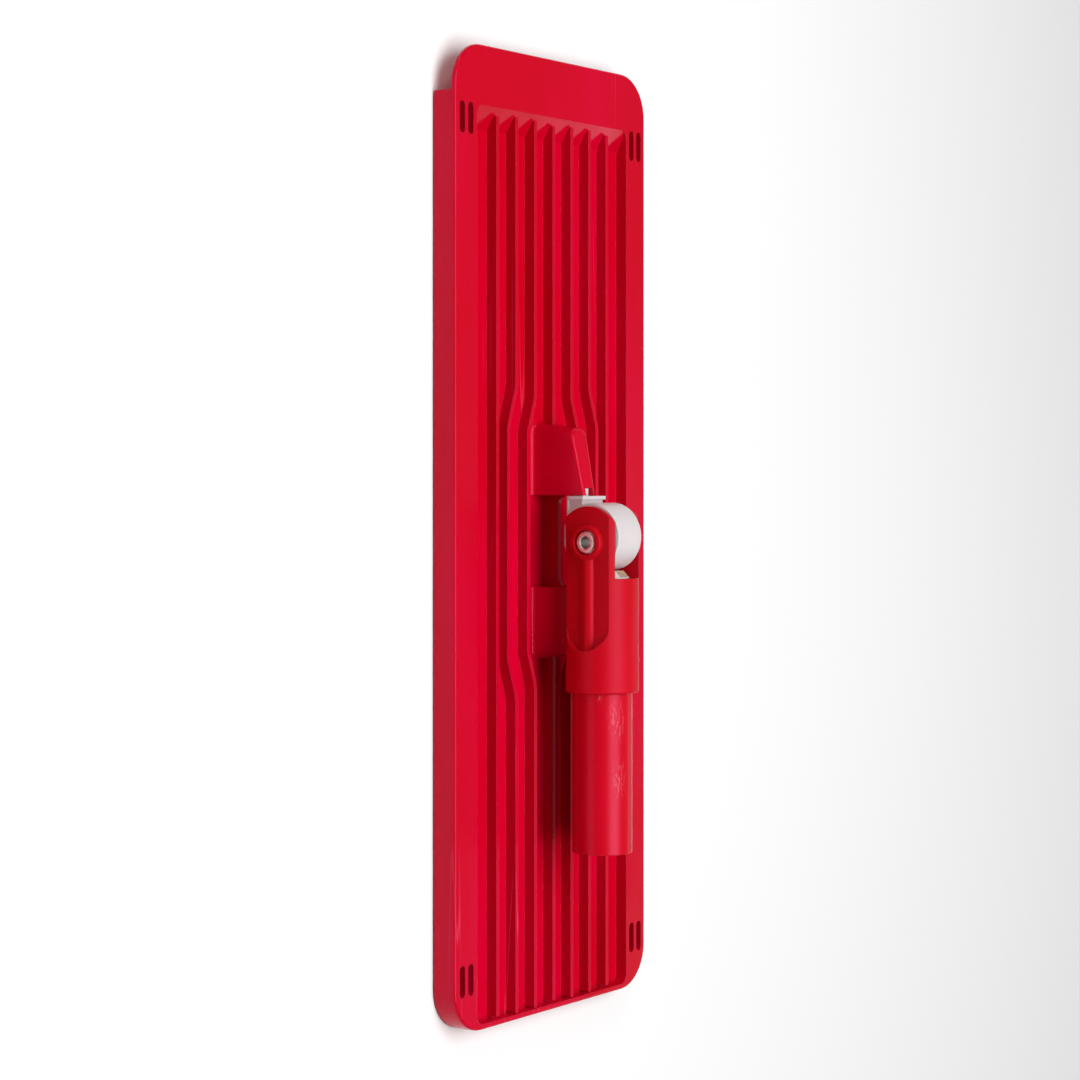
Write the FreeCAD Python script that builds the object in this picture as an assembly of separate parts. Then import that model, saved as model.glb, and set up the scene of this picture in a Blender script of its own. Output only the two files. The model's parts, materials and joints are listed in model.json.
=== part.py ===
import FreeCAD, Part
import math
import os
from FreeCAD import Vector

# A 40 cm flat mop frame lying on its hook strips, with its handle folded along the plate.
# +X runs along the plate towards the folded handle, +Y across it, +Z up.
# The origin is the middle of the plate on the floor.  Millimetres.

# Plate
PLATE_LENGTH = 400.0
PLATE_WIDTH = 140.0
CORNER_R = 18.0
FLANGE_Z = 11.2          # top of the flanges
SKIRT_Z = 0.7            # lower edge of the skirt
WALL = 2.0
TOP_EDGE_R = 1.1
TONGUE_LENGTH = 20.0     # thin lip at the -X end
TONGUE_T = 1.8

# Tray between the flanges
TRAY_HALF_WIDTH = 55.0
TRAY_DEPTH = 5.3
TRAY_START_X = -175.5
RAMP_END_X = -166.0
TRAY_END_X = 197.6
TRAY_CORNER_R = 4.0
RIB_T = 2.0
RIB_PITCH = 13.45
RIB_TOP_Z = FLANGE_Z - 0.35
RIB_START_X = -172.0
RIB_END_X = 196.3
# Ribs 1 and 2 of each side step out beside the joint: the step, and where it starts and ends
RIB_JOGS = {1: (5.0, 46.0, 60.0), 2: (5.7, 48.0, 64.5)}
RIBS_PER_SIDE = 3
JOG_BEND_R = 9.0

# Webs and slot walls under the flanges
UNDER_WEB_X = (-120.0, -60.0, 0.0, 60.0, 120.0)
UNDER_WEB_T = 1.6
UNDER_WEB_Z = 2.7
SLOT_WALL = 1.5

# Strap slots in the flanges
SLOT_LENGTH = 13.0
SLOT_WIDTH = 3.7
SLOT_X = (-169.3, 178.4)
SLOT_Y = (59.3, 65.0)

# Hook strips under the tray
STRIP_LENGTH = 330.0
STRIP_WIDTH = 24.0
STRIP_T = 2.7
STRIP_Y = (-34.0, 0.0, 34.0)
LAND_MARGIN = 2.0

# Joint: the tilt axis runs along Y and the swivel axis along X
PIVOT_X = 2.7
TILT_Z = FLANGE_Z + 24.1
SWIVEL_Z = FLANGE_Z + 13.5
JOURNAL_R = 3.0
JOURNAL_END = 22.2
RUNNING_GAP = 0.05

# Hoods
HOOD_INNER = 19.3
HOOD_OUTER = 49.8
HOOD_FOOT_HALF = 9.0
HOOD_TOP_HALF = 4.4
HOOD_TOP_INNER_Z = FLANGE_Z + 17.9
HOOD_TOP_OUTER_Z = FLANGE_Z + 12.2
HOOD_LEAN = 2.6          # how far the outer end leans back at its top
HOOD_END_R = 4.0
HOOD_FOOT_R = 2.2
HOOD_TOP_R = 1.6
NOTCH_END = 22.4
NOTCH_HALF = 2.75
WEB_TOP_Z = FLANGE_Z + 2.3
WEB_R = 4.5

# Swivel block
BLOCK_HALF = 8.5
END_PLATE_IN = 17.5
END_PLATE_OUT = 19.0
TALL_PLATE_Z = FLANGE_Z + 20.1      # the -X plate
FOOT_TOP_Z = FLANGE_Z + 19.2
BLOCK_FOOT_Z = FLANGE_Z + 10.8
BLOCK_CORNER_R = 2.5
DISC_R = 14.0
DISC_SHIFT = -2.2        # the disc is a cam: its centre lies off the tilt axis
CORE_DEPTH = 0.9
DISC_EDGE_R = 0.5

# Yoke
YOKE_R = 15.25
YOKE_NOSE_R = 14.9
YOKE_END = 62.5
GAP_HALF = 9.0
SHOULDER = 15.0
EAR_FLAT = 11.0
EAR_END = 45.0
BOSS_R = 7.5
BOSS_FACE = 13.3
COUNTERBORE_R = 5.2
COUNTERBORE_FACE = 11.3
BOSS_EDGE_R = 1.1
COLLAR_EDGE_R = 1.0
SPINE_WIDTH = 5.8
SPINE_HEIGHT = 1.9
UNDER_SLOT_END = 51.2
UNDER_SLOT_DROP = 4.5    # its ceiling below the tube axis
UNDER_SLOT_HALF = 9.2
UNDER_SLOT_MOUTH = 12.0

# Rivet
RIVET_R = 3.25
RIVET_BORE_R = 2.5
RIVET_HEAD_R = 4.4
RIVET_HEAD_Y = 12.8
RIVET_MOUTH_R = 0.3
WASHER_R = 4.6
WASHER_T = 0.6

# Brake: a sprung plunger with a tapered nose, pressing a friction shoe on the disc
PLUNGER_RISE = 4.4       # above the tilt axis
PLUNGER_R = 7.5
PLUNGER_BORE_R = 7.57
PLUNGER_BORE_END = 46.0
PLUNGER_BACK = 26.0
NOSE_FACE = 11.95
NOSE_FACE_R = 5.2
NOSE_ROOT = 14.7
SHOE_FACE = 11.85
SHOE_BACK = 14.4
SHOE_HALF = 3.0
SPRING_R = 4.7
SPRING_WIRE = 1.2
SPRING_TURNS = 7
SPRING_SEAT = 17.0

# Handle sleeve
SLEEVE_R = 12.5
SLEEVE_BORE_R = 11.0
SLEEVE_START = 50.7
SLEEVE_STOP = 52.7
SLEEVE_END = 129.0
SLEEVE_EDGE_R = 0.4


def box(x0, x1, y0, y1, z0, z1):
    return Part.makeBox(x1 - x0, y1 - y0, z1 - z0, Vector(x0, y0, z0))


def cylinder_x(radius, x0, x1, y, z):
    return Part.makeCylinder(radius, x1 - x0, Vector(x0, y, z), Vector(1, 0, 0))


def cylinder_y(radius, y0, y1, x, z):
    return Part.makeCylinder(radius, y1 - y0, Vector(x, y0, z), Vector(0, 1, 0))


def polygon(points):
    return Part.Face(Part.makePolygon(points + [points[0]]))


def side_prism(outline, half_width):
    """Prism across Y from an outline of (x, z) points."""
    face = polygon([Vector(x, -half_width, z) for x, z in outline])
    return face.extrude(Vector(0, 2 * half_width, 0))


def end_prism(outline, x0, x1):
    """Prism along X from an outline of (y, z) points."""
    face = polygon([Vector(x0, y, z) for y, z in outline])
    return face.extrude(Vector(x1 - x0, 0, 0))


def rounded_block(x0, x1, half_width, z0, z1, radius):
    block = box(x0, x1, -half_width, half_width, z0, z1)
    upright = [e for e in block.Edges if abs(e.tangentAt(e.FirstParameter).z) > 0.99]
    return block.makeFillet(radius, upright)


def fillet_where(shape, radius, test):
    return shape.makeFillet(radius, [e for e in shape.Edges if test(e)])


def mirror_x(shape, x=PIVOT_X):
    return shape.mirror(Vector(x, 0, 0), Vector(1, 0, 0))


def mirror_y(shape):
    return shape.mirror(Vector(0, 0, 0), Vector(0, 1, 0))


def at_height(edge, z):
    return abs(edge.BoundBox.ZMin - z) < 1e-4 and abs(edge.BoundBox.ZMax - z) < 1e-4


# Mop plate

def tray_space(grow):
    """The open space of the tray, or its outer skin when grown by a wall."""
    floor = FLANGE_Z - TRAY_DEPTH - grow
    block = rounded_block(TRAY_START_X - grow, TRAY_END_X + grow, TRAY_HALF_WIDTH + grow,
                          floor, FLANGE_Z + 1.0, TRAY_CORNER_R + grow)
    ramp = [(TRAY_START_X - grow, floor), (RAMP_END_X - grow, floor),
            (TRAY_START_X - grow, FLANGE_Z - grow)]
    return block.cut(side_prism(ramp, PLATE_WIDTH))


def bent_path(corners, radius):
    """A path through the corners, with an arc of the given radius at each inner one."""
    edges = []
    start = corners[0]
    for before, corner, after in zip(corners, corners[1:], corners[2:]):
        back = (before - corner).normalize()
        ahead = (after - corner).normalize()
        half_turn = (math.pi - back.getAngle(ahead)) / 2
        setback = radius * math.tan(half_turn)
        inward = (back + ahead).normalize()
        first = corner + back * setback
        middle = corner + inward * (radius / math.cos(half_turn) - radius)
        last = corner + ahead * setback
        edges.append(Part.makeLine(start, first))
        edges.append(Part.Arc(first, middle, last).toShape())
        start = last
    edges.append(Part.makeLine(start, corners[-1]))
    return Part.Wire(edges)


def rib(number):
    """A straight rib, or one that steps out on both sides of the joint."""
    offset = number * RIB_PITCH
    foot = FLANGE_Z - TRAY_DEPTH - WALL / 2
    if number not in RIB_JOGS:
        return box(RIB_START_X, RIB_END_X, offset - RIB_T / 2, offset + RIB_T / 2, foot, RIB_TOP_Z)
    step, near, far = RIB_JOGS[number]
    corners = [Vector(RIB_START_X, offset, 0),
               Vector(PIVOT_X - far, offset, 0),
               Vector(PIVOT_X - near, offset + step, 0),
               Vector(PIVOT_X + near, offset + step, 0),
               Vector(PIVOT_X + far, offset, 0),
               Vector(RIB_END_X, offset, 0)]
    path = bent_path(corners, JOG_BEND_R)
    outline = Part.Face(path.makeOffset2D(RIB_T / 2, 0, False, False, False))
    outline.translate(Vector(0, 0, foot))
    return outline.extrude(Vector(0, 0, RIB_TOP_Z - foot))


def ribs():
    plain = [rib(number) for number in range(RIBS_PER_SIDE + 1)]
    return plain + [mirror_y(shape) for shape in plain[1:]]


def web_between_hoods():
    """The middle rib rises between the hoods and curves up into their end faces."""
    half = HOOD_INNER + 1.0
    low = FLANGE_Z - TRAY_DEPTH - WALL / 2
    web = box(PIVOT_X - half, PIVOT_X + half, -RIB_T / 2, RIB_T / 2, low, WEB_TOP_Z + WEB_R)
    flat = HOOD_INNER - WEB_R
    cut = box(PIVOT_X - flat, PIVOT_X + flat, -RIB_T, RIB_T, WEB_TOP_Z, WEB_TOP_Z + 2 * WEB_R)
    for side in (-1, 1):
        round_end = cylinder_y(WEB_R, -RIB_T, RIB_T, PIVOT_X + side * flat, WEB_TOP_Z + WEB_R)
        cut = cut.fuse(round_end)
    return web.cut(cut)


def hood_body(inner, outer, foot_half, top_half, top_drop, foot_z):
    side = [(inner, foot_z), (outer, foot_z),
            (outer - HOOD_LEAN, HOOD_TOP_OUTER_Z - top_drop), (inner, HOOD_TOP_INNER_Z - top_drop)]
    top_z = HOOD_TOP_INNER_Z - top_drop
    section = [(-foot_half, foot_z), (foot_half, foot_z), (top_half, top_z), (-top_half, top_z)]
    return side_prism(side, foot_half + 1).common(end_prism(section, inner, outer))


def hood():
    """The +X hood about X = 0: a tapered cover with a snap-in notch for the journal."""
    foot_z = FLANGE_Z - TRAY_DEPTH - WALL / 2
    body = hood_body(HOOD_INNER, HOOD_OUTER, HOOD_FOOT_HALF, HOOD_TOP_HALF, 0.0, foot_z)

    def outer_upright(edge):
        box_ = edge.BoundBox
        return box_.XMin > HOOD_OUTER - HOOD_LEAN - 0.1 and box_.ZLength > 5

    body = fillet_where(body, HOOD_END_R, outer_upright)

    def top_rim(edge):
        return edge.BoundBox.ZMin > HOOD_TOP_OUTER_Z - 0.6 and edge.BoundBox.XMax > HOOD_INNER + 0.1

    body = fillet_where(body, HOOD_TOP_R, top_rim)
    seat = cylinder_x(JOURNAL_R + RUNNING_GAP, HOOD_INNER - 1, NOTCH_END, 0, SWIVEL_Z)
    mouth = box(HOOD_INNER - 1, NOTCH_END, -NOTCH_HALF, NOTCH_HALF, SWIVEL_Z, HOOD_TOP_INNER_Z + 1)
    return body.cut(seat.fuse(mouth))


def hood_core():
    """The hollow inside a hood, open below."""
    return hood_body(NOTCH_END + WALL, HOOD_OUTER - WALL - 0.6, HOOD_FOOT_HALF - WALL,
                     HOOD_TOP_HALF - 2.2, 2 * WALL, FLANGE_Z - TRAY_DEPTH - 2 * WALL)


def strap_slots():
    slots = []
    for x in SLOT_X:
        for y in SLOT_Y:
            half = SLOT_LENGTH / 2
            slots.append(rounded_block(x - half, x + half, SLOT_WIDTH / 2, 0, 2 * FLANGE_Z,
                                       SLOT_WIDTH / 2 - 0.001))
            slots[-1].translate(Vector(0, y, 0))
            slots.append(mirror_y(slots[-1]))
    return slots


def under_webs():
    """Cross webs inside the skirt, under both flanges."""
    webs = []
    for x in UNDER_WEB_X:
        web = box(x - UNDER_WEB_T / 2, x + UNDER_WEB_T / 2, TRAY_HALF_WIDTH + WALL / 2,
                  PLATE_WIDTH / 2 - WALL / 2, UNDER_WEB_Z, FLANGE_Z - WALL / 2)
        webs += [web, mirror_y(web)]
    return webs


def slot_walls():
    """Solid blocks under the flanges, so that each slot is a deep pocket with its own walls."""
    half = SLOT_LENGTH / 2 + SLOT_WALL
    blocks = []
    for x in SLOT_X:
        block = box(x - half, x + half, TRAY_HALF_WIDTH + WALL / 2, PLATE_WIDTH / 2 - WALL / 2,
                    UNDER_WEB_Z, FLANGE_Z - WALL / 2)
        blocks += [block, mirror_y(block)]
    return blocks


def strip_lands():
    """Raised pads under the tray floor that the hook strips are glued to."""
    half_length = STRIP_LENGTH / 2 + LAND_MARGIN
    half_width = STRIP_WIDTH / 2 + LAND_MARGIN
    top = FLANGE_Z - TRAY_DEPTH - WALL / 2
    return [box(-half_length, half_length, y - half_width, y + half_width, STRIP_T, top)
            for y in STRIP_Y]


def mop_plate():
    half_length = PLATE_LENGTH / 2
    half_width = PLATE_WIDTH / 2
    floor = FLANGE_Z - TRAY_DEPTH
    plate = rounded_block(-half_length, half_length, half_width, SKIRT_Z, FLANGE_Z, CORNER_R)
    plate = fillet_where(plate, TOP_EDGE_R, lambda e: at_height(e, FLANGE_Z))
    tongue_end = TONGUE_LENGTH - half_length
    plate = plate.cut(box(-half_length - 1, tongue_end, -half_width, half_width,
                          0, FLANGE_Z - TONGUE_T))
    inside = rounded_block(tongue_end + WALL, half_length - WALL, half_width - WALL,
                           0, FLANGE_Z - WALL, CORNER_R - WALL)
    tray = tray_space(0.0)
    plate = plate.cut(inside.cut(tray_space(WALL))).cut(tray)
    below = box(RAMP_END_X, TRAY_END_X, -TRAY_HALF_WIDTH, TRAY_HALF_WIDTH, floor - WALL / 2, floor)
    all_ribs = ribs()
    grid = all_ribs[0].multiFuse(all_ribs[1:]).common(tray.fuse(below))
    front = hood()
    front.translate(Vector(PIVOT_X, 0, 0))
    added = [grid, web_between_hoods(), front, mirror_x(front)]
    added += under_webs() + slot_walls() + strip_lands()
    plate = plate.multiFuse(added).removeSplitter()
    plate = fillet_where(plate, HOOD_FOOT_R, on_hood_foot)
    core = hood_core()
    core.translate(Vector(PIVOT_X, 0, 0))
    return plate.cut(Part.makeCompound([core, mirror_x(core)] + strap_slots()))


def on_hood_foot(edge):
    """The long edges where the hoods' sides meet the tray floor."""
    limits = edge.BoundBox
    beside = min(abs(limits.YMin), abs(limits.YMax)) > 7.0 and max(abs(limits.YMin), abs(limits.YMax)) < 10.0
    return at_height(edge, FLANGE_Z - TRAY_DEPTH) and beside and limits.XLength > 15.0


def hook_strip(y):
    half = STRIP_LENGTH / 2
    return box(-half, half, y - STRIP_WIDTH / 2, y + STRIP_WIDTH / 2, 0, STRIP_T)


# Swivel block

def swivel_block():
    """Built about the tilt axis at x = 0: two end plates, a foot, a cam disc and two journals."""
    foot_z = BLOCK_FOOT_Z
    foot = rounded_foot(-END_PLATE_OUT, END_PLATE_OUT, FOOT_TOP_Z)
    tall = rounded_foot(-END_PLATE_OUT, -END_PLATE_IN, TALL_PLATE_Z)
    disc = cylinder_y(DISC_R, -BLOCK_HALF, BLOCK_HALF, DISC_SHIFT, TILT_Z)
    disc = fillet_where(disc, DISC_EDGE_R, lambda e: isinstance(e.Curve, Part.Circle))
    disc = disc.cut(box(-30, 30, -BLOCK_HALF, BLOCK_HALF, 0, foot_z))
    cores = []
    for side in (-1, 1):
        skin = side * BLOCK_HALF
        low, high = sorted((skin - side * CORE_DEPTH, skin + side))
        pocket = box(-END_PLATE_IN, END_PLATE_IN, low, high, foot_z + 1.6, TALL_PLATE_Z)
        keep = cylinder_y(DISC_R, low, high, DISC_SHIFT, TILT_Z)
        cores.append(pocket.cut(keep))
    body = foot.multiFuse([tall, disc])
    body = body.cut(Part.makeCompound(cores))
    journals = [cylinder_x(JOURNAL_R, END_PLATE_OUT - 0.5, JOURNAL_END, 0, SWIVEL_Z),
                cylinder_x(JOURNAL_R, -JOURNAL_END, -END_PLATE_OUT + 0.5, 0, SWIVEL_Z)]
    bore = cylinder_y(RIVET_R + RUNNING_GAP, -BLOCK_HALF - 1, BLOCK_HALF + 1, 0, TILT_Z)
    block = body.multiFuse(journals).cut(bore).removeSplitter()
    block.translate(Vector(PIVOT_X, 0, 0))
    return block


def rounded_foot(x0, x1, top):
    """A block as wide as the swivel block whose two lower edges are rounded."""
    block = box(x0, x1, -BLOCK_HALF, BLOCK_HALF, BLOCK_FOOT_Z, top)
    return fillet_where(block, BLOCK_CORNER_R,
                        lambda e: at_height(e, BLOCK_FOOT_Z) and e.BoundBox.YLength < 0.01)


# Yoke and what it carries, about the tilt axis at x = 0, z = 0

def place_on_pivot(shape):
    shape.translate(Vector(PIVOT_X, 0, TILT_Z))
    return shape


def yoke():
    tube = cylinder_x(YOKE_R, -YOKE_R, YOKE_END, 0, 0)
    tube = tube.makeFillet(COLLAR_EDGE_R, [e for e in tube.Edges if e.BoundBox.XMin > YOKE_END - 0.1])
    nose = cylinder_y(YOKE_NOSE_R, -YOKE_R, YOKE_R, 0, 0)
    body = tube.common(nose.fuse(box(0, YOKE_END, -YOKE_R, YOKE_R, -YOKE_R, YOKE_R)))
    body = body.cut(ear_flats())
    for side in (-1, 1):
        body = body.fuse(ear_boss(side)).fuse(ear_spine(side))
    body = body.cut(box(-2 * YOKE_R, SHOULDER, -GAP_HALF, GAP_HALF, -2 * YOKE_R, 2 * YOKE_R))
    hollows = [cylinder_x(PLUNGER_BORE_R, SHOULDER - 1, PLUNGER_BORE_END, 0, PLUNGER_RISE),
               cylinder_x(SLEEVE_R, SLEEVE_START, YOKE_END + 1, 0, 0),
               cylinder_y(RIVET_R, -2 * YOKE_R, 2 * YOKE_R, 0, 0),
               hood_clearance()]
    for side in (-1, 1):
        low, high = sorted((side * COUNTERBORE_FACE, side * 2 * YOKE_R))
        hollows.append(cylinder_y(COUNTERBORE_R, low, high, 0, 0))
    return place_on_pivot(body.cut(hollows[0].multiFuse(hollows[1:])).removeSplitter())


def ear_flats():
    """What is cut away on both sides to make the flats, down to a half-round end."""
    reach = 2 * YOKE_R
    flats = []
    for low, high in ((-reach, -EAR_FLAT), (EAR_FLAT, reach)):
        half = math.sqrt(YOKE_R ** 2 - EAR_FLAT ** 2)
        run = box(-reach, EAR_END - half, low, high, -reach, reach)
        flats.append(run.fuse(cylinder_y(half, low, high, EAR_END - half, 0)))
    return Part.makeCompound(flats)


def ear_boss(side):
    low, high = sorted((side * (GAP_HALF + 0.5), side * BOSS_FACE))
    boss = cylinder_y(BOSS_R, low, high, 0, 0)
    face = side * BOSS_FACE
    return boss.makeFillet(BOSS_EDGE_R, [e for e in boss.Edges if abs(e.BoundBox.YMin - face) < 0.01
                                         and abs(e.BoundBox.YMax - face) < 0.01])


def ear_spine(side):
    """The half-round rib down the middle of a flat, rounded off at its far end."""
    radius = (SPINE_WIDTH ** 2 / 4 + SPINE_HEIGHT ** 2) / (2 * SPINE_HEIGHT)
    centre = EAR_FLAT + SPINE_HEIGHT - radius
    spine = cylinder_x(radius, 0, EAR_END, side * centre, 0)
    low, high = sorted((side * (EAR_FLAT - 0.5), side * 2 * YOKE_R))
    return spine.common(box(0, EAR_END, low, high, -radius, radius))


def hood_clearance():
    """The relief under the yoke that straddles the hood, flared at its mouth for the swivel."""
    outline = [(-UNDER_SLOT_HALF, -UNDER_SLOT_DROP), (UNDER_SLOT_HALF, -UNDER_SLOT_DROP),
               (UNDER_SLOT_MOUTH, -YOKE_R), (-UNDER_SLOT_MOUTH, -YOKE_R)]
    return end_prism(outline, SHOULDER - 1, UNDER_SLOT_END)


def revolve_y(points):
    """A solid turned about Y from an outline of (radius, y) points."""
    face = polygon([Vector(r, y, 0) for r, y in points])
    return face.revolve(Vector(0, 0, 0), Vector(0, 1, 0), 360)


def tubular_rivet():
    tube = cylinder_y(RIVET_R, -COUNTERBORE_FACE - WASHER_T, COUNTERBORE_FACE + WASHER_T, 0, 0)
    for side in (-1, 1):
        root = COUNTERBORE_FACE + WASHER_T
        roll = (RIVET_HEAD_Y - root) / 2
        head = revolve_y([(0, side * root), (RIVET_HEAD_R, side * root),
                          (RIVET_HEAD_R, side * RIVET_HEAD_Y), (0, side * RIVET_HEAD_Y)])
        outer = [e for e in head.Edges if e.BoundBox.XMax > RIVET_HEAD_R - 0.01
                 and abs(e.BoundBox.YMin - side * RIVET_HEAD_Y) < 0.01 and e.BoundBox.YLength < 0.01]
        tube = tube.fuse(head.makeFillet(roll, outer))
    tube = tube.cut(cylinder_y(RIVET_BORE_R, -2 * RIVET_HEAD_Y, 2 * RIVET_HEAD_Y, 0, 0)).removeSplitter()
    mouth = [e for e in tube.Edges if isinstance(e.Curve, Part.Circle)
             and abs(e.Curve.Radius - RIVET_BORE_R) < 0.01 and abs(e.BoundBox.YMax) > RIVET_HEAD_Y - 0.1]
    return place_on_pivot(tube.makeFillet(RIVET_MOUTH_R, mouth))


def rivet_washers():
    rings = []
    for side in (-1, 1):
        low, high = sorted((side * COUNTERBORE_FACE, side * (COUNTERBORE_FACE + WASHER_T)))
        ring = cylinder_y(WASHER_R, low, high, 0, 0)
        rings.append(ring.cut(cylinder_y(RIVET_R, low, high, 0, 0)))
    return place_on_pivot(Part.makeCompound(rings))


def plunger_nose(face):
    """The tapered nose, cut off at the given distance from the tilt axis."""
    taper = (PLUNGER_R - NOSE_FACE_R) / (NOSE_ROOT - NOSE_FACE)
    face_r = PLUNGER_R - taper * (NOSE_ROOT - face)
    return Part.makeCone(face_r, PLUNGER_R, NOSE_ROOT - face,
                         Vector(face, 0, PLUNGER_RISE), Vector(1, 0, 0))


def brake_plunger():
    """A nylon cup: the shoe sits across its nose and the spring in its back."""
    barrel = cylinder_x(PLUNGER_R, NOSE_ROOT, PLUNGER_BACK, 0, PLUNGER_RISE)
    plunger = barrel.fuse(plunger_nose(NOSE_FACE)).removeSplitter()
    shoe_slot = box(SHOE_FACE - 1, SHOE_BACK, -SHOE_HALF, SHOE_HALF, -YOKE_R, YOKE_R)
    spring_room = cylinder_x(SPRING_R + SPRING_WIRE, SPRING_SEAT, PLUNGER_BACK + 1, 0, PLUNGER_RISE)
    return place_on_pivot(plunger.cut(shoe_slot.fuse(spring_room)))


def friction_shoe():
    """A bar of lining across the nose, flush with its taper."""
    bar = box(SHOE_FACE, SHOE_BACK, -SHOE_HALF, SHOE_HALF, -YOKE_R, YOKE_R)
    return place_on_pivot(plunger_nose(SHOE_FACE).common(bar))


def brake_spring():
    """A coil spring along X between the plunger and the blind end of its bore."""
    start = SPRING_SEAT + SPRING_WIRE / 2 + RUNNING_GAP
    height = PLUNGER_BORE_END - SPRING_WIRE / 2 - RUNNING_GAP - start
    path = Part.makeHelix(height / SPRING_TURNS, height, SPRING_R)
    ring = Part.Wire(Part.makeCircle(SPRING_WIRE / 2, Vector(SPRING_R, 0, 0), Vector(0, 1, 0)))
    coil = Part.Wire(path.Edges).makePipeShell([ring], True, True)
    coil.rotate(Vector(0, 0, 0), Vector(0, 1, 0), 90)
    coil.translate(Vector(start, 0, PLUNGER_RISE))
    return place_on_pivot(coil)


def handle_sleeve():
    sleeve = cylinder_x(SLEEVE_R, SLEEVE_START, SLEEVE_END, 0, 0)
    sleeve = sleeve.cut(cylinder_x(SLEEVE_BORE_R, SLEEVE_STOP, SLEEVE_END + 1, 0, 0))
    rims = [e for e in sleeve.Edges if e.BoundBox.XMin > SLEEVE_END - 0.01]
    return place_on_pivot(sleeve.makeFillet(SLEEVE_EDGE_R, rims))


def main():
    nodes = {
        "base_plate": mop_plate(),
        "swivel_block": swivel_block(),
        "yoke": yoke(),
        "tubular_rivet": tubular_rivet(),
        "rivet_washers": rivet_washers(),
        "brake_plunger": brake_plunger(),
        "friction_shoe": friction_shoe(),
        "brake_spring": brake_spring(),
        "handle_sleeve": handle_sleeve(),
    }
    for name, y in zip(("front", "middle", "back"), STRIP_Y):
        nodes["hook_strip_" + name] = hook_strip(y)
    os.makedirs("parts", exist_ok=True)
    for name, shape in nodes.items():
        shape.exportStep("parts/" + name + ".step")
        print(name, shape.isValid(), len(shape.Solids), round(shape.Volume))


main()
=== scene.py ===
import json
import math
import random

import bmesh
import bpy
from mathutils import Matrix, Vector


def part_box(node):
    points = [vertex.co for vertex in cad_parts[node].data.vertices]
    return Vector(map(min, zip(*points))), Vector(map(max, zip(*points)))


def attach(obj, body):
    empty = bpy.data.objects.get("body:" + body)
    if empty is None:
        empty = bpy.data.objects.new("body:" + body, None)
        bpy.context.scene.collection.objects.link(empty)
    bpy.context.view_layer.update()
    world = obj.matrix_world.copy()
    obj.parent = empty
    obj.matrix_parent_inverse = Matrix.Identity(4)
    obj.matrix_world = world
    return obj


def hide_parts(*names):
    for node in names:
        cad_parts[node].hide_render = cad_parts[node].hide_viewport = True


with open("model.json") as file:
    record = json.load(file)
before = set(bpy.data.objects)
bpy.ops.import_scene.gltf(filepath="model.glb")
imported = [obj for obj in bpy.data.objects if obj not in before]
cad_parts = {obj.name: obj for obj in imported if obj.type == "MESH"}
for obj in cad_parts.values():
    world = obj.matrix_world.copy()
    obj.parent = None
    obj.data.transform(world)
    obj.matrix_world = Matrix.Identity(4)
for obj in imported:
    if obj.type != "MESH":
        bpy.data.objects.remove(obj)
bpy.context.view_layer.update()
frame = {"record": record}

# A flat mop frame on a pale studio floor.  Metres, in the frame of the CAD model.

MM = 0.001
JOINTS = frame["record"]["behaviour"]["joints"]
PIVOT = Vector(next(joint["pos_m"] for joint in JOINTS if joint["name"] == "handle_tilt"))
FLANGE_Z = 11.2 * MM     # top of the plate
COLLAR_END = 62.5 * MM   # from the tilt axis to where the sleeve comes out of the collar

# Moulding marks: pin rings on the hoods, measured from the tilt axis, and domes on the middle rib
PIN_MARK = (39.0 * MM, 5.7 * MM, FLANGE_Z + 10.0 * MM)
PIN_MARK_R = 2.3 * MM
NUB_X = (-123.0 * MM, -81.0 * MM)
NUB_R = 0.85 * MM
NUB_FLATTEN = 0.45
NUB_SINK = 0.35 * MM

# Hook strips
STRIPS = ("hook_strip_front", "hook_strip_middle", "hook_strip_back")
HOOK_LENGTH = 1.5 * MM
HOOK_PITCH = 2.2 * MM
HOOK_JITTER = 0.15 * MM
TAPE_INSET = 0.15 * MM
TAPE_EDGE_LIFT = 0.35 * MM
TAPE_WAVE = 0.12 * MM
TAPE_STEPS = 110
TAPE_LANES = 6

# Shading: the highlights of the red plastics are tinted, and rubbed spots are faint
RED_SHEEN = (1.0, 0.40, 0.66, 1.0)
CLEAR_SHEEN = (1.0, 1.0, 1.0, 1.0)
SCUFF_STRENGTH = 0.45

# Studio
FLOOR_HALF = 6.0
FLOOR_DROP = 0.2 * MM
AIR_STRENGTH = 0.17
CAMERA_DOWN = math.radians(35.0)
CAMERA_DISTANCE = 1124.8 * MM
CAMERA_SIGHT = Vector((-30.9 * MM, -10.2 * MM, 10.8 * MM))
CAMERA_LENS = 89.63
CAMERA_SHIFT_Y = -0.0731


# Node trees

def add(tree, kind, inputs=None, **settings):
    """Adds a shader node, sets its options, and sets or links its inputs."""
    made = tree.nodes.new("ShaderNode" + kind)
    for key, value in settings.items():
        setattr(made, key, value)
    for key, value in (inputs or {}).items():
        if isinstance(value, bpy.types.NodeSocket):
            tree.links.new(value, made.inputs[key])
        else:
            made.inputs[key].default_value = value
    return made


def calc(tree, operation, a, b=0.0, c=0.0):
    return add(tree, "Math", {0: a, 1: b, 2: c}, operation=operation).outputs[0]


def ramp(tree, value, low, high, to_low=0.0, to_high=1.0):
    """Maps low..high smoothly to to_low..to_high."""
    node = add(tree, "MapRange", {"Value": value, 1: low, 2: high, 3: to_low, 4: to_high},
               interpolation_type="SMOOTHSTEP")
    return node.outputs["Result"]


def mix_colour(tree, factor, a, b):
    return add(tree, "Mix", {0: factor, 6: a, 7: b}, data_type="RGBA").outputs[2]


def rgb(red, green, blue):
    return (red, green, blue, 1.0)


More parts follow.
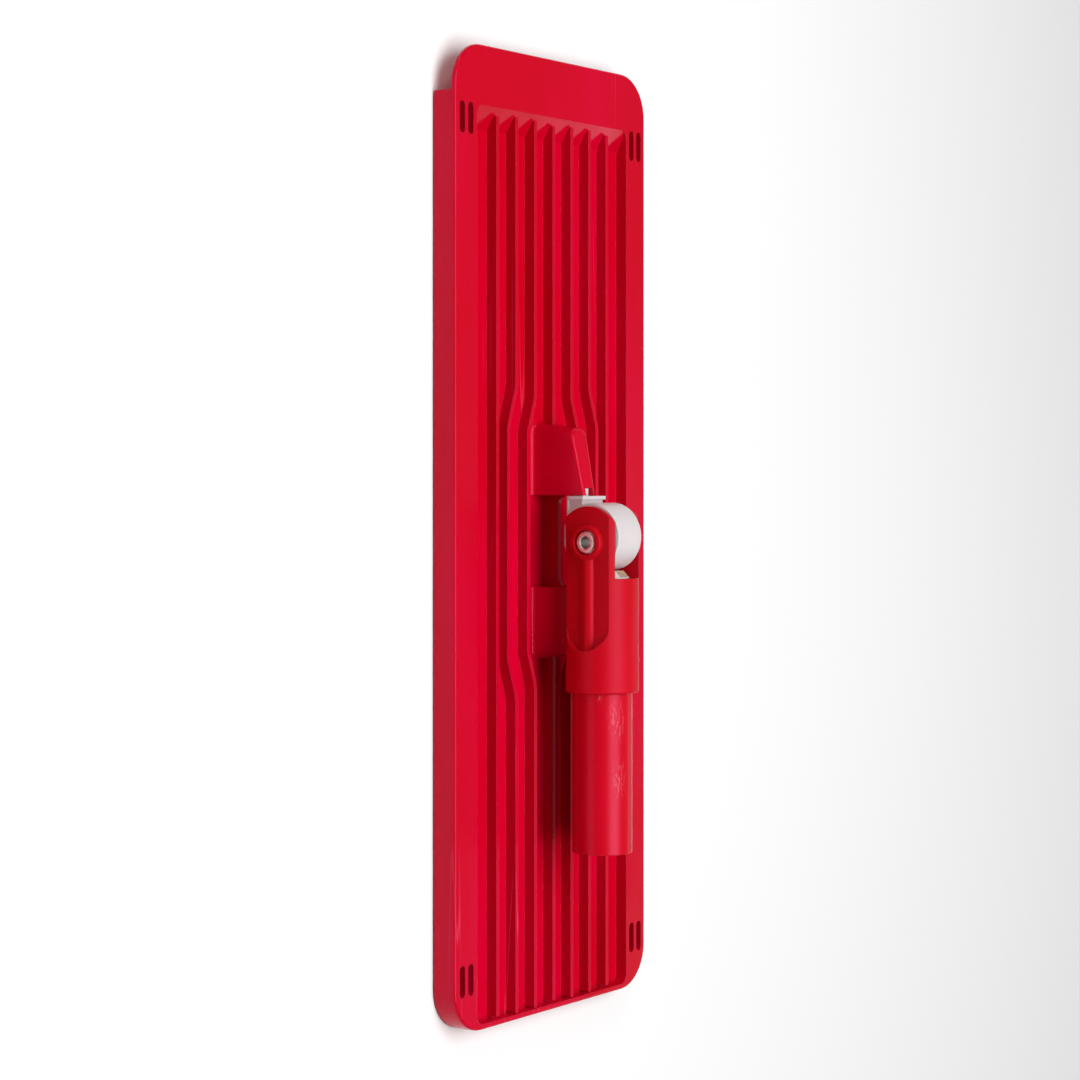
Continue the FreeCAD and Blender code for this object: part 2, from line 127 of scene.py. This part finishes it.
def place(tree, scale=(1, 1, 1), turn=(0, 0, 0)):
    """Object coordinates, which are the model's own metres, scaled and turned."""
    coordinates = add(tree, "TexCoord").outputs["Object"]
    return add(tree, "Mapping", {"Vector": coordinates, "Scale": scale, "Rotation": turn}).outputs[0]


def noise(tree, size, detail=2.0, stretch=(1, 1, 1), turn=(0, 0, 0), distortion=0.0):
    """Noise whose blobs are about `size` across, 0..1 around 0.5."""
    vector = place(tree, stretch, turn)
    node = add(tree, "TexNoise", {"Vector": vector, "Scale": 1 / size, "Detail": detail,
                                  "Distortion": distortion})
    return node.outputs["Fac"]


def scratches(tree, spacing, turn, amount):
    """Sparse hair-line scratches along one direction, 1 in a scratch."""
    lines = noise(tree, spacing, 1.0, (0.03, 1, 1), turn, 0.25)
    thin = calc(tree, "ABSOLUTE", calc(tree, "SUBTRACT", lines, 0.5))
    hair = ramp(tree, thin, 0.0, 0.012, 1.0, 0.0)
    patches = ramp(tree, noise(tree, spacing * 6, 2.0, (0.4, 1, 1), turn), 0.60 - amount, 0.72)
    return calc(tree, "MULTIPLY", hair, patches)


def edge_mask(tree, rounded):
    """1 on sharp edges, from the difference between the rounded and the true normal."""
    true = add(tree, "NewGeometry").outputs["Normal"]
    match = add(tree, "VectorMath", {0: rounded, 1: true}, operation="DOT_PRODUCT").outputs["Value"]
    return ramp(tree, match, 0.80, 0.985, 1.0, 0.0)


def spot(tree, centre, radius, stretch=(1, 1, 1)):
    """1 at a place on the model, fading to 0 at the given radius."""
    scaled = [c * s for c, s in zip(centre, stretch)]
    distance = add(tree, "VectorMath", {0: place(tree, stretch), 1: scaled}, operation="DISTANCE")
    return ramp(tree, distance.outputs["Value"], 0.2 * radius, radius, 1.0, 0.0)


def new_material(name):
    material = bpy.data.materials.new(name)
    material.use_nodes = True
    tree = material.node_tree
    tree.nodes.clear()
    shader = add(tree, "BsdfPrincipled")
    output = add(tree, "OutputMaterial")
    tree.links.new(shader.outputs[0], output.inputs["Surface"])
    return material, tree, shader


def plastic(name, colour, deep, worn_and_highlight_colour, roughness, grain, grain_depth, flow, scuffing,
            bevel, specular, sheen=RED_SHEEN, subsurface=0.0, scuffs=(), marks=None):
    """Moulded plastic: colour drift, flow marks, grain, rounded edges, scuffs, and lighter edges that are
    partly edge wear and partly a painted highlight.
    """
    material, tree, shader = new_material(name)
    rounded = add(tree, "Bevel", {"Radius": bevel}, samples=4).outputs[0]
    drift = noise(tree, 45 * MM, 3.0, (0.35, 1, 1))
    base = mix_colour(tree, ramp(tree, drift, 0.3, 0.7), deep, colour)
    # Sharp edges, broken up by noise, take the lighter third colour: partly edge wear, partly a painted
    # highlight along the edges
    edges = calc(tree, "MULTIPLY", edge_mask(tree, rounded), noise(tree, 5 * MM, 3.0))
    hairs = calc(tree, "MAXIMUM", scratches(tree, 9 * MM, (0, 0, 0.12), scuffing),
                 scratches(tree, 13 * MM, (0.3, 0.2, 1.1), scuffing * 0.6))
    rubbed = ramp(tree, noise(tree, 0.9 * MM, 4.0, (0.35, 1, 1), (0, 0, 0.2)), 0.50, 0.62)
    for centre, radius, stretch in scuffs:
        patch = calc(tree, "MULTIPLY", spot(tree, centre, radius, stretch), rubbed)
        patch = calc(tree, "MULTIPLY", patch, SCUFF_STRENGTH)
        hairs = calc(tree, "MAXIMUM", hairs, patch)
    # Painted edge highlight together with real wear on edges and scratches, mixed into the base colour
    # and the roughness
    wear_and_edge_highlight = calc(tree, "MAXIMUM", calc(tree, "MULTIPLY", edges, 0.35),
                calc(tree, "MULTIPLY", hairs, 0.40))
    base = mix_colour(tree, wear_and_edge_highlight, base, worn_and_highlight_colour)
    tree.links.new(base, shader.inputs["Base Color"])

    smears = ramp(tree, noise(tree, 22 * MM, 4.0, (0.25, 1, 1), (0, 0, 0.3), 0.6), 0.35, 0.75)
    rough = calc(tree, "MULTIPLY_ADD", smears, 0.08, roughness)
    rough = calc(tree, "MULTIPLY_ADD", noise(tree, grain * 3, 2.0), 0.05, rough)
    rough = calc(tree, "MULTIPLY_ADD", wear_and_edge_highlight, 0.35, rough)
    tree.links.new(rough, shader.inputs["Roughness"])

    texture = noise(tree, grain, 3.0)
    waves = noise(tree, 16 * MM, 1.0, (0.3, 1, 1))
    height = calc(tree, "MULTIPLY_ADD", waves, flow * MM, calc(tree, "MULTIPLY", texture, grain_depth))
    height = calc(tree, "MULTIPLY_ADD", hairs, -0.015 * MM, height)
    if marks:
        height = calc(tree, "ADD", height, marks(tree))
    bump = add(tree, "Bump", {"Strength": 1.0, "Distance": 1.0, "Height": height, "Normal": rounded})
    tree.links.new(bump.outputs[0], shader.inputs["Normal"])
    shader.inputs["Specular IOR Level"].default_value = specular
    shader.inputs["Specular Tint"].default_value = sheen
    if subsurface:
        shader.inputs["Subsurface Weight"].default_value = subsurface
        shader.inputs["Subsurface Radius"].default_value = (1.0, 0.9, 0.85)
        shader.inputs["Subsurface Scale"].default_value = 2.0 * MM
    return material


def ejector_rings(tree):
    """The faint round pin mark on each side of both hoods."""
    shifted = add(tree, "VectorMath", {0: place(tree), 1: (PIVOT.x, 0, 0)}, operation="SUBTRACT")
    folded = add(tree, "VectorMath", {0: shifted.outputs[0]}, operation="ABSOLUTE").outputs[0]
    distance = add(tree, "VectorMath", {0: folded, 1: PIN_MARK}, operation="DISTANCE").outputs["Value"]
    off_ring = calc(tree, "ABSOLUTE", calc(tree, "SUBTRACT", distance, PIN_MARK_R))
    return ramp(tree, off_ring, 0.0, 0.35 * MM, -0.05 * MM, 0.0)


def plated_steel(name, roughness, tone):
    """Bright metal with fine turning marks, dulled patches and soft edges."""
    material, tree, shader = new_material(name)
    dull = ramp(tree, noise(tree, 1.6 * MM, 4.0), 0.4, 0.75)
    base = mix_colour(tree, dull, rgb(tone, tone, tone * 0.98), rgb(tone * 0.7, tone * 0.68, tone * 0.66))
    tree.links.new(base, shader.inputs["Base Color"])
    rough = calc(tree, "MULTIPLY_ADD", dull, 0.18, roughness)
    tree.links.new(rough, shader.inputs["Roughness"])
    marks = noise(tree, 0.25 * MM, 2.0, (1, 8, 1))
    soft_edge = add(tree, "Bevel", {"Radius": 0.12 * MM}, samples=6).outputs[0]
    bump = add(tree, "Bump", {"Distance": 0.002 * MM, "Height": marks, "Normal": soft_edge})
    tree.links.new(bump.outputs[0], shader.inputs["Normal"])
    shader.inputs["Metallic"].default_value = 1.0
    return material


def friction_lining(name):
    """Tan pressed-fibre lining with darker flecks."""
    material, tree, shader = new_material(name)
    fibres = noise(tree, 0.5 * MM, 4.0, (1, 1, 0.3), (0.4, 0, 0))
    flecks = ramp(tree, noise(tree, 0.8 * MM, 2.0), 0.60, 0.68)
    base = mix_colour(tree, fibres, rgb(0.30, 0.19, 0.11), rgb(0.50, 0.38, 0.26))
    base = mix_colour(tree, flecks, base, rgb(0.12, 0.08, 0.05))
    tree.links.new(base, shader.inputs["Base Color"])
    tree.links.new(ramp(tree, fibres, 0.3, 0.7, 0.75, 0.95), shader.inputs["Roughness"])
    bump = add(tree, "Bump", {"Distance": 0.08 * MM, "Height": fibres})
    tree.links.new(bump.outputs[0], shader.inputs["Normal"])
    return material


def hook_tape(name):
    """Black nylon tape: a fine woven ground, lint and a dull sheen."""
    material, tree, shader = new_material(name)
    warp = add(tree, "TexWave", {"Vector": place(tree), "Scale": 0.5 / MM, "Distortion": 0.4},
               bands_direction="X").outputs["Fac"]
    weft = add(tree, "TexWave", {"Vector": place(tree), "Scale": 0.7 / MM, "Distortion": 0.4},
               bands_direction="Y").outputs["Fac"]
    weave = calc(tree, "MULTIPLY", warp, weft)
    lint = ramp(tree, noise(tree, 2.5 * MM, 5.0, (0.4, 1, 1), (0, 0, 0.7), 1.0), 0.62, 0.75)
    base = mix_colour(tree, weave, rgb(0.012, 0.012, 0.014), rgb(0.045, 0.045, 0.05))
    base = mix_colour(tree, calc(tree, "MULTIPLY", lint, 0.4), base, rgb(0.22, 0.21, 0.2))
    tree.links.new(base, shader.inputs["Base Color"])
    tree.links.new(ramp(tree, weave, 0, 1, 0.55, 0.8), shader.inputs["Roughness"])
    bump = add(tree, "Bump", {"Distance": 0.12 * MM, "Height": weave})
    tree.links.new(bump.outputs[0], shader.inputs["Normal"])
    shader.inputs["Sheen Weight"].default_value = 0.3
    return material


def assign(material, *nodes):
    """Puts one material on the named CAD meshes."""
    for node in nodes:
        mesh = bpy.data.objects[node].data
        mesh.materials.clear()
        mesh.materials.append(material)


def dress_cad():
    """Gives every CAD mesh its material, apart from the hook strips."""
    # The third colour of each plastic lightens its scratches and edges: wear, and on the edges also a
    # painted highlight
    assign(plastic("plate_red", rgb(0.610, 0.0, 0.0250), rgb(0.560, 0.0, 0.012),
                   rgb(0.85, 0.08, 0.16), 0.14, 0.5 * MM, 0.0006 * MM, flow=0.035, scuffing=0.0,
                   bevel=0.45 * MM, specular=0.27, marks=ejector_rings), "base_plate")
    assign(plastic("yoke_red", rgb(0.600, 0.0, 0.0120), rgb(0.500, 0.0, 0.003),
                   rgb(0.80, 0.12, 0.16), 0.40, 0.45 * MM, 0.012 * MM, flow=0.03, scuffing=0.04,
                   bevel=0.6 * MM, specular=0.26), "yoke")
    collar_x = PIVOT.x + COLLAR_END
    rubs = (((collar_x + 11 * MM, -5.8 * MM, PIVOT.z + 11.1 * MM), 7 * MM, (0.6, 1.4, 1.4)),
            ((collar_x + 35 * MM, -4.8 * MM, PIVOT.z + 11.5 * MM), 6 * MM, (0.5, 1.4, 1.4)),
            ((collar_x + 2 * MM, -10.9 * MM, PIVOT.z + 6.1 * MM), 2.5 * MM, (1, 1, 1)))
    assign(plastic("sleeve_red", rgb(0.610, 0.0, 0.0140), rgb(0.540, 0.0, 0.005),
                   rgb(0.88, 0.40, 0.42), 0.30, 0.5 * MM, 0.002 * MM, flow=0.02, scuffing=0.08,
                   bevel=0.25 * MM, specular=0.34, scuffs=rubs), "handle_sleeve")
    assign(plastic("nylon_white", rgb(0.71, 0.67, 0.68), rgb(0.66, 0.59, 0.60),
                   rgb(0.80, 0.78, 0.76), 0.34, 0.6 * MM, 0.003 * MM, flow=0.04, scuffing=0.05,
                   bevel=0.3 * MM, specular=0.45, sheen=CLEAR_SHEEN, subsurface=0.3),
           "swivel_block", "brake_plunger")
    assign(plated_steel("rivet_steel", 0.28, 0.93), "tubular_rivet", "rivet_washers")
    assign(plated_steel("spring_steel", 0.30, 0.45), "brake_spring")
    assign(friction_lining("lining"), "friction_shoe")


def gate_nubs():
    """The low domes left by the injection gates along the middle rib."""
    material = bpy.data.objects["base_plate"].data.materials[0]
    for number, x in enumerate(NUB_X):
        mesh = bpy.data.meshes.new("gate_nub_%d" % number)
        build = bmesh.new()
        bmesh.ops.create_uvsphere(build, u_segments=20, v_segments=12, radius=NUB_R)
        lower = [v for v in build.verts if v.co.z < -NUB_SINK]
        bmesh.ops.delete(build, geom=lower, context="VERTS")
        for vert in build.verts:
            vert.co.z *= NUB_FLATTEN
            vert.co += Vector((x, 0, FLANGE_Z - NUB_SINK))
        for face in build.faces:
            face.smooth = True
        build.to_mesh(mesh)
        build.free()
        mesh.materials.append(material)
        piece = bpy.data.objects.new("gate_nub_%d" % number, mesh)
        bpy.context.scene.collection.objects.link(piece)
        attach(piece, "base")


# Hook strips

def add_tape(build, low, high, ground, seed):
    """The woven ground of a strip, with slightly wavy, thinner selvedges."""
    rows = []
    for layer in (ground, high.z):
        for i in range(TAPE_STEPS + 1):
            x = low.x + (high.x - low.x) * i / TAPE_STEPS
            wave = TAPE_WAVE * math.sin(i * 1.7 + seed)
            row = []
            for j in range(TAPE_LANES + 1):
                at_edge = j in (0, TAPE_LANES)
                y = low.y + TAPE_INSET + (high.y - low.y - 2 * TAPE_INSET) * j / TAPE_LANES
                y += wave if at_edge else 0.0
                lift = TAPE_EDGE_LIFT if at_edge and layer == ground else 0.0
                row.append(build.verts.new((x, y, layer + lift)))
            rows.append(row)
    half = TAPE_STEPS + 1
    for i in range(TAPE_STEPS):
        top = half + i
        for j in range(TAPE_LANES):
            build.faces.new((rows[i][j], rows[i][j + 1], rows[i + 1][j + 1], rows[i + 1][j]))
            build.faces.new((rows[top][j], rows[top + 1][j], rows[top + 1][j + 1], rows[top][j + 1]))
        for j in (0, TAPE_LANES):
            build.faces.new((rows[i][j], rows[i + 1][j], rows[top + 1][j], rows[top][j]))
    for i in (0, TAPE_STEPS):
        for j in range(TAPE_LANES):
            build.faces.new((rows[i][j], rows[i][j + 1], rows[half + i][j + 1], rows[half + i][j]))
    bmesh.ops.recalc_face_normals(build, faces=build.faces)


def add_hook_rows(build, low, high, ground, seed):
    """Rows of hooks facing down, each a little off its grid point."""
    chance = random.Random(seed)
    y = low.y + 2.0 * MM
    while y < high.y - 1.5 * MM:
        x = low.x + 1.6 * MM
        while x < high.x - 1.2 * MM:
            off_x = chance.uniform(-HOOK_JITTER, HOOK_JITTER)
            off_y = chance.uniform(-HOOK_JITTER, HOOK_JITTER)
            add_hook(build, Vector((x + off_x, y + off_y, ground)), ground - low.z)
            x += HOOK_PITCH
        y += HOOK_PITCH


def hook_strip(node, material, seed):
    """A tape with rows of small mushroom hooks, in place of the CAD model's plain strip."""
    low, high = (Vector(corner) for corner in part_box(node))
    ground = low.z + HOOK_LENGTH
    mesh = bpy.data.meshes.new(node + "_tape")
    build = bmesh.new()
    add_tape(build, low, high, ground, seed)
    add_hook_rows(build, low, high, ground, seed)
    build.to_mesh(mesh)
    build.free()
    mesh.materials.append(material)
    tape = bpy.data.objects.new(node + "_tape", mesh)
    bpy.context.scene.collection.objects.link(tape)
    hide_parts(node)
    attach(tape, "base")


def add_hook(build, root, height):
    """One mushroom hook: a square stem with a flared head at its tip."""
    profile = ((0.00, 0.26), (0.55, 0.20), (0.78, 0.24), (0.90, 0.52), (1.00, 0.40))
    rings = []
    for share, radius in profile:
        z = root.z + 0.1 * MM - share * (height + 0.1 * MM)
        ring = [build.verts.new((root.x + radius * MM * sx, root.y + radius * 0.8 * MM * sy, z))
                for sx, sy in ((1, 1), (-1, 1), (-1, -1), (1, -1))]
        rings.append(ring)
    for upper, lower in zip(rings, rings[1:]):
        for k in range(4):
            build.faces.new((upper[k], lower[k], lower[(k + 1) % 4], upper[(k + 1) % 4]))
    build.faces.new(rings[-1])
    build.faces.new(rings[0][::-1])


# Studio

def floor():
    """A pale matt floor, large enough to fill the view."""
    mesh = bpy.data.meshes.new("studio_floor")
    build = bmesh.new()
    bmesh.ops.create_grid(build, x_segments=8, y_segments=8, size=FLOOR_HALF)
    build.to_mesh(mesh)
    build.free()
    material, tree, shader = new_material("studio_floor")
    tone = ramp(tree, noise(tree, 0.9, 2.0), 0.3, 0.7, 0.90, 0.93)
    colour = add(tree, "CombineColor", {0: tone, 1: tone, 2: tone}).outputs[0]
    tree.links.new(colour, shader.inputs["Base Color"])
    shader.inputs["Roughness"].default_value = 0.9
    shader.inputs["Specular IOR Level"].default_value = 0.1
    mesh.materials.append(material)
    piece = bpy.data.objects.new("studio_floor", mesh)
    piece.location.z = -FLOOR_DROP
    bpy.context.scene.collection.objects.link(piece)


def area_light(name, position, width, height, power):
    """A rectangular lamp aimed at the origin."""
    lamp = bpy.data.lights.new(name, "AREA")
    lamp.shape = "RECTANGLE"
    lamp.size = width
    lamp.size_y = height
    lamp.energy = power
    piece = bpy.data.objects.new(name, lamp)
    piece.location = position
    piece.rotation_euler = (-Vector(position)).to_track_quat("-Z", "Y").to_euler()
    bpy.context.scene.collection.objects.link(piece)


def lights():
    """A wide soft box above, a small one at the lip's end and a low strip behind for the rims."""
    area_light("top_box", (0.0, -0.22, 1.25), 1.5, 0.8, 19.5)
    area_light("end_box", (-1.2, -0.35, 0.75), 0.4, 0.4, 2.6)
    area_light("back_strip", (0.35, 1.30, 0.55), 0.9, 0.16, 1.0)
    world = bpy.data.worlds.new("studio_air")
    world.use_nodes = True
    world.node_tree.nodes["Background"].inputs["Color"].default_value = (1, 1, 1, 1)
    world.node_tree.nodes["Background"].inputs["Strength"].default_value = AIR_STRENGTH
    bpy.context.scene.world = world


def camera():
    """Low over the plate's near side, turned so that the plate stands upright in view."""
    forward = Vector((0, math.cos(CAMERA_DOWN), -math.sin(CAMERA_DOWN)))
    up = Vector((-1, 0, 0))
    right = forward.cross(up)
    lens = bpy.data.cameras.new("camera")
    lens.sensor_width = 36.0
    lens.lens = CAMERA_LENS
    lens.shift_y = CAMERA_SHIFT_Y
    piece = bpy.data.objects.new("camera", lens)
    turn = Matrix((right, up, -forward)).transposed().to_4x4()
    piece.matrix_world = Matrix.Translation(CAMERA_SIGHT - forward * CAMERA_DISTANCE) @ turn
    bpy.context.scene.collection.objects.link(piece)
    bpy.context.scene.camera = piece


dress_cad()
gate_nubs()
tape_material = hook_tape("hook_tape_black")
for number, strip in enumerate(STRIPS):
    hook_strip(strip, tape_material, number)
floor()
lights()
camera()
bpy.context.scene.view_settings.view_transform = "Standard"
